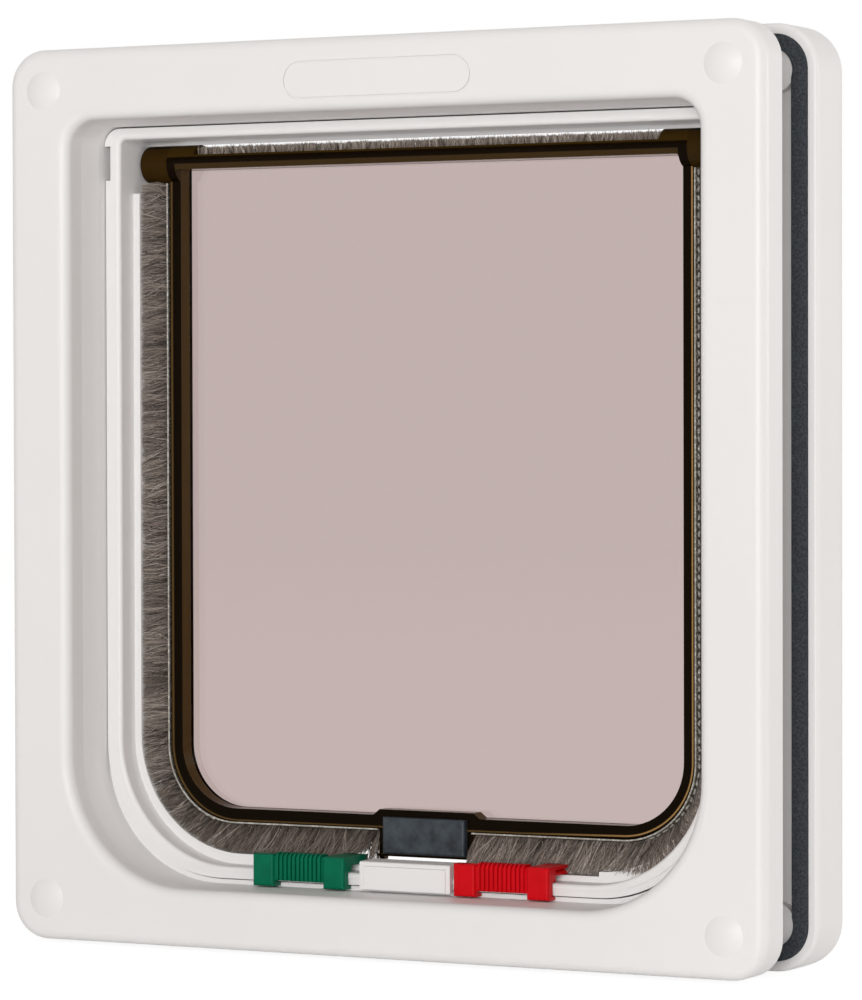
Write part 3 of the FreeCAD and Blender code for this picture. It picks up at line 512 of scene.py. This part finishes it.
def sideBrush(side, node, seed):
    pick = np.random.default_rng(seed)
    low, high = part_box(node)
    path = edgePath(side, node)
    s, depth, shared = tufts(pick, path["length"], pile["rows"], pile["perTuft"])
    count = len(s)
    s = np.clip(s + pick.normal(0, pile["tuftSize"], count) * mm, 0, path["length"])
    depth = np.clip(depth + pick.normal(0, 0.05, count), 0, 1) ** pile["frontShare"]
    place, out = onPath(path, s)
    along = np.stack([-out[:, 2] * side, 0 * s, out[:, 0] * side], -1)
    along = np.where((along[:, 2] > 0)[:, None], -along, along)  # down the side, then towards the pocket
    turned = np.clip((s - path["down"]) / path["arc"], 0, 1)
    footLean = pile["footLean"] if side < 0 else -pile["footLean"]
    lean = pile["sideLean"] * (1 - turned) + footLean * turned ** 2
    lean = lean + pile["wave"] * slowWave(s, seed) + pile["lean"] * shared[0] + pick.normal(0, pile["stray"],
        count)
    lean = lean * np.clip((path["length"] - s) / (pile["endFade"] * mm), 0.05, 1)  # upright beside the pocket
    way = out + along * lean[:, None]
    way /= np.linalg.norm(way, axis=1)[:, None]
    start = place + out * pile["rootOut"] * mm
    rootY = pile["rootFront"] * mm + low.y + depth * (high.y - low.y - pile["rootFront"] * mm)
    tipFront = low.y - pile["forward"] * mm
    tipY = tipFront + (depth ** 1.1) * (high.y - tipFront) + np.abs(pick.normal(0, 0.3, count)) * mm
    tipY = np.minimum(tipY, high.y)
    front = roomTo(start, way, *(v * mm for v in pile["ridge"]))
    back = roomTo(start, way, *(v * mm for v in pile["bore"]))
    behind = np.clip((tipY - low.y - pile["ridgeBack"] * mm) / (0.8 * mm), 0, 1)
    room = front + (back - front) * behind
    splay = pick.normal(0, pile["splay"], count) * mm
    tips = start + way * (room * (1 - np.abs(pick.normal(0, pile["short"], count))))[:,
        None] + along * splay[:, None]
    x0, x1, stretch = pile["lowStretch"]
    more = (tips[:, 0] > x0 * mm) & (tips[:, 0] < x1 * mm) & (behind < 1)
    tips[:, 2] = np.where(more, tips[:, 2] - (pile["ridge"][1] - stretch) * mm * (1 - behind), tips[:, 2])
    for a0, a1 in pile["arms"]:
        over = (tips[:, 0] > a0 * mm) & (tips[:, 0] < a1 * mm)
        tips[:, 2] = np.where(over, np.maximum(tips[:, 2],
            pile["armTop"] * mm + np.abs(pick.normal(0, 0.2, count)) * mm), tips[:, 2])
    limit = (pile["ridge"][0] + (pile["bore"][0] - pile["ridge"][0]) * behind) * mm
    tips[:, 0] = side * np.clip(side * tips[:, 0], min(abs(low.x), abs(high.x)), limit)
    tips[:, 2] = np.minimum(tips[:, 2], high.z)
    # at the lower right corner the front fibres lie over the ridge
    over = np.where((side > 0) & (depth < pile["overShare"]),
        np.clip(1.6 * np.sin(turned ** 0.85 * math.pi) - 0.35, 0, 1), 0)
    tips = tips + way * (over * (pile["over"] - np.abs(pick.normal(0, 0.5, count))) * mm)[:, None]
    onTop = low.y + (pile["ridgeFront"] - 0.2 - 0.6 * pick.random(count)) * mm
    tipY = np.where(over > 0, np.minimum(tipY, onTop), tipY)
    roots = start.copy()
    roots[:, 1], tips[:, 1] = rootY, tipY
    bends = along * (pile["bend"] * (0.6 * shared[1] + 0.6 * pick.normal(0, 1, count)) * mm)[:, None]
    bends[:, 1] -= over * pile["overBend"] * mm
    # painted shade: on the left strip the fibres darken along the foot, against the light from above; on the right
    # they pale slightly
    tones = 0.45 + (pile["footPaintedShade"] if side < 0 else 0.02) * turned + 0.1 * shared[2] + 0.06 * slowWave(s,
        seed + 5) + pick.normal(0, 0.2, count)
    widths = pile["fibre"] * mm * pick.uniform(0.7, 1.2, count)
    fibres = linkPiece("pile_" + node, stamp("pile_" + node, roots, tips, widths, bends,
        np.clip(tones, 0, 1)), materials["pile"])
    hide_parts(node)
    makeBacking(node, path, high.y)


def topBrush(node, seed):
    pick = np.random.default_rng(seed)
    low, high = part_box(node)
    length = high.x - low.x
    s, depth, shared = tufts(pick, length, pile["rows"], 8)
    count = len(s)
    s = np.clip(s + pick.normal(0, pile["tuftSize"], count) * mm, 0, length)
    rise = pile["topRise"] + 0.22 * slowWave(s, seed) + pick.normal(0, 0.12,
        count) + pile["topTall"] * (pick.random(count) ** 12)
    lean = 0.25 * shared[0] + 0.2 * slowWave(s, seed + 2) + pick.normal(0, 0.1, count)
    rootY = low.y + np.clip(depth, 0, 1) * (high.y - low.y)
    roots = np.stack([low.x + s, rootY, np.full(count, low.z - 0.05 * mm)], -1)
    tips = roots + np.stack([np.clip(lean * rise, -1.2, 1.2) * mm, pick.normal(0, 0.25, count) * mm,
        rise * mm], -1)
    tips[:, 0] = np.clip(tips[:, 0], low.x, high.x)
    tips[:, 1] = np.clip(tips[:, 1], low.y, high.y)
    bends = np.stack([0.2 * mm * pick.normal(0, 1, count), 0 * s, 0 * s], -1)
    tones = np.clip(0.57 + 0.1 * shared[2] + pick.normal(0, 0.16, count), 0, 1)
    fibres = linkPiece("pile_" + node, stamp("pile_" + node, roots, tips,
        0.15 * mm * pick.uniform(0.7, 1.2, count), bends, tones), materials["pile"])
    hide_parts(node)


def frameAt(path, s):  # outwards, through the door and along, at a place on the path
    place, out = (Vector(v[0]) for v in onPath(path, np.array([s])))
    across = Vector((0, 1, 0))
    turn = Matrix((out, across, out.cross(across))).transposed().to_4x4()
    return Matrix.Translation(place) @ turn


def sweep(bm, verts, edges, path):  # carries a closed outline along the path and closes its ends
    steps = int(path["length"] / (backing["step"] * mm))
    first = frameAt(path, 0)
    bmesh.ops.transform(bm, matrix=first, verts=verts)
    last = first
    for i in range(1, steps + 1):
        made = bmesh.ops.extrude_edge_only(bm, edges=edges)["geom"]
        verts = [g for g in made if isinstance(g, bmesh.types.BMVert)]
        edges = [g for g in made if isinstance(g, bmesh.types.BMEdge)]
        here = frameAt(path, path["length"] * i / steps)
        bmesh.ops.transform(bm, matrix=here @ last.inverted(), verts=verts)
        last = here
    bmesh.ops.holes_fill(bm, edges=[e for e in bm.edges if e.is_boundary], sides=12)
    bmesh.ops.recalc_face_normals(bm, faces=bm.faces)


def finished(bm, name, material):
    mesh = bpy.data.meshes.new(name)
    bm.to_mesh(mesh)
    bm.free()
    return linkPiece(name, mesh, material)


def makeBacking(node, path, back):
    thick, front = backing["thick"] * mm, bead["front"] - backing["proud"] * mm
    bend = bead["front"] + 0.85 * mm
    inside = [(-backing["turn"] * mm, front), (backing["foot"] * mm, bend), (backing["foot"] * mm, back)]
    outline = inside + [(o + thick, y) for o, y in reversed(inside)]
    bm = bmesh.new()
    verts = [bm.verts.new((o, y, 0)) for o, y in outline]
    edges = [bm.edges.new((a, b)) for a, b in zip(verts, verts[1:] + verts[:1])]
    sweep(bm, verts, edges, path)
    finished(bm, "backing_" + node, backingMaterial)
    bm = bmesh.new()
    ring = bmesh.ops.create_circle(bm, segments=8, radius=backing["selvedge"] * mm)["verts"]
    bmesh.ops.translate(bm, verts=ring, vec=(-backing["turn"] * mm + thick / 2, front, 0))
    sweep(bm, ring, list(bm.edges), path)
    stitched = path["down"] + path["arc"] * backing["stitchedShare"]
    count = int(stitched / (backing["stitchPitch"] * mm))
    for i in range(count):
        ball = bmesh.ops.create_icosphere(bm, subdivisions=2, radius=1)["verts"]
        bmesh.ops.scale(bm, verts=ball, vec=[backing[k] * mm
            for k in ("stitchProud", "stitchWide", "stitchLong")])
        slant = backing["slant"] if i % 2 else -0.4 * backing["slant"]
        bmesh.ops.rotate(bm, verts=ball, matrix=Matrix.Rotation(math.radians(slant), 3, "X"))
        bmesh.ops.translate(bm, verts=ball, vec=(thick, front + 1.3 * mm, 0))
        bmesh.ops.transform(bm, verts=ball, matrix=frameAt(path, stitched * (i + 0.5) / count))
    finished(bm, "selvedge_" + node, selvedgeMaterial)


# floor of the magnet pocket, a lip of the smoked moulding that closes most of the gap over the catch
pocket = {"half": 14.7, "front": 3.6, "back": 12.4, "low": 26.2, "high": 26.85, "round": 0.15}


def makePocketFloor():
    bm = bmesh.new()
    bmesh.ops.create_cube(bm, size=1)
    wide, deep, tall = 2 * pocket["half"], pocket["back"] - pocket["front"], pocket["high"] - pocket["low"]
    bmesh.ops.scale(bm, verts=bm.verts, vec=(wide * mm, deep * mm, tall * mm))
    middle = (0, (pocket["back"] + pocket["front"]) / 2 * mm, (pocket["high"] + pocket["low"]) / 2 * mm)
    bmesh.ops.translate(bm, verts=bm.verts, vec=middle)
    bmesh.ops.bevel(bm, geom=bm.edges[:], offset=pocket["round"] * mm, segments=2, profile=0.5,
        affect="EDGES", material=-1)
    mesh = bpy.data.meshes.new("pocket_floor")
    bm.to_mesh(mesh)
    bm.free()
    linkPiece("pocket_floor", mesh, materials["smoked_panel"])


makePocketFloor()
sideBrush(-1, "brush_left", 11)
sideBrush(1, "brush_right", 23)
topBrush("brush_top", 31)
print("pile strips made")


# studio: a white floor and backdrop, a broad lamp near the camera, weak ones above and behind at the right,
# and a low even light from all round
studio = {"floor": 6.0, "world": 0.42, "worldTint": "fffaf6", "key": 46.0, "keyPlace": (0.95, -2.66, 0.38),
    "keySize": 1.0,
          "top": 6.0, "topPlace": (0.2, 0.5, 2.4), "topSize": 1.4, "side": 17.0,
          "sidePlace": (2.0, 1.7, 0.45), "sideSize": 0.8, "floorGlow": 0.88, "floorShade": 0.28}


def seenRays(tree):  # rays that should find the white background
    rays = addNode(tree, "ShaderNodeLightPath")
    seen = addNode(tree, "ShaderNodeMath", {0: rays.outputs["Is Camera Ray"],
        1: rays.outputs["Is Transmission Ray"]}, operation="MAXIMUM").outputs[0]
    return addNode(tree, "ShaderNodeMath", {0: seen, 1: rays.outputs["Is Glossy Ray"]},
        operation="MAXIMUM").outputs[0]


def makeStage():
    bm = bmesh.new()
    bmesh.ops.create_grid(bm, x_segments=1, y_segments=1, size=studio["floor"] / 2)
    mesh = bpy.data.meshes.new("floor")
    bm.to_mesh(mesh)
    bm.free()
    floor = bpy.data.objects.new("floor", mesh)
    bpy.context.scene.collection.objects.link(floor)
    material, tree, shader, coords = newMaterial("floor_white")
    shader.inputs["Base Color"].default_value = (0.9, 0.9, 0.9, 1)
    shader.inputs["Roughness"].default_value = 0.9
    white = addNode(tree, "ShaderNodeEmission", {"Color": (1, 1, 1, 1), "Strength": studio["floorGlow"]})
    shade = addNode(tree, "ShaderNodeBsdfDiffuse", {"Color": [studio["floorShade"]] * 3 + [1]})
    shown = addNode(tree, "ShaderNodeAddShader", {0: white.outputs[0], 1: shade.outputs[0]})
    mix = addNode(tree, "ShaderNodeMixShader", {0: seenRays(tree), 1: shader.outputs[0], 2: shown.outputs[0]})
    out = next(n for n in tree.nodes if n.type == "OUTPUT_MATERIAL")
    tree.links.new(mix.outputs[0], out.inputs[0])
    mesh.materials.append(material)


def areaLight(name, place, size, power):
    data = bpy.data.lights.new(name, "AREA")
    data.size = size
    data.energy = power
    obj = bpy.data.objects.new(name, data)
    obj.location = place
    aim = Vector((0, 0, 0.127)) - Vector(place)
    obj.rotation_euler = aim.to_track_quat("-Z", "Y").to_euler()
    bpy.context.scene.collection.objects.link(obj)


def makeLights():
    world = bpy.data.worlds.new("studio")
    world.use_nodes = True
    tree = world.node_tree
    tree.nodes.clear()
    soft = addNode(tree, "ShaderNodeBackground", {"Color": hexColour(studio["worldTint"]),
        "Strength": studio["world"]})
    white = addNode(tree, "ShaderNodeBackground", {"Color": (1, 1, 1, 1), "Strength": 1.0})
    mix = addNode(tree, "ShaderNodeMixShader", {0: seenRays(tree), 1: soft.outputs[0], 2: white.outputs[0]})
    out = addNode(tree, "ShaderNodeOutputWorld")
    tree.links.new(mix.outputs[0], out.inputs[0])
    bpy.context.scene.world = world
    areaLight("key", studio["keyPlace"], studio["keySize"], studio["key"])
    areaLight("top", studio["topPlace"], studio["topSize"], studio["top"])
    areaLight("side", studio["sidePlace"], studio["sideSize"], studio["side"])


makeStage()
makeLights()
bpy.context.scene.view_settings.view_transform = "Standard"
print("studio set")
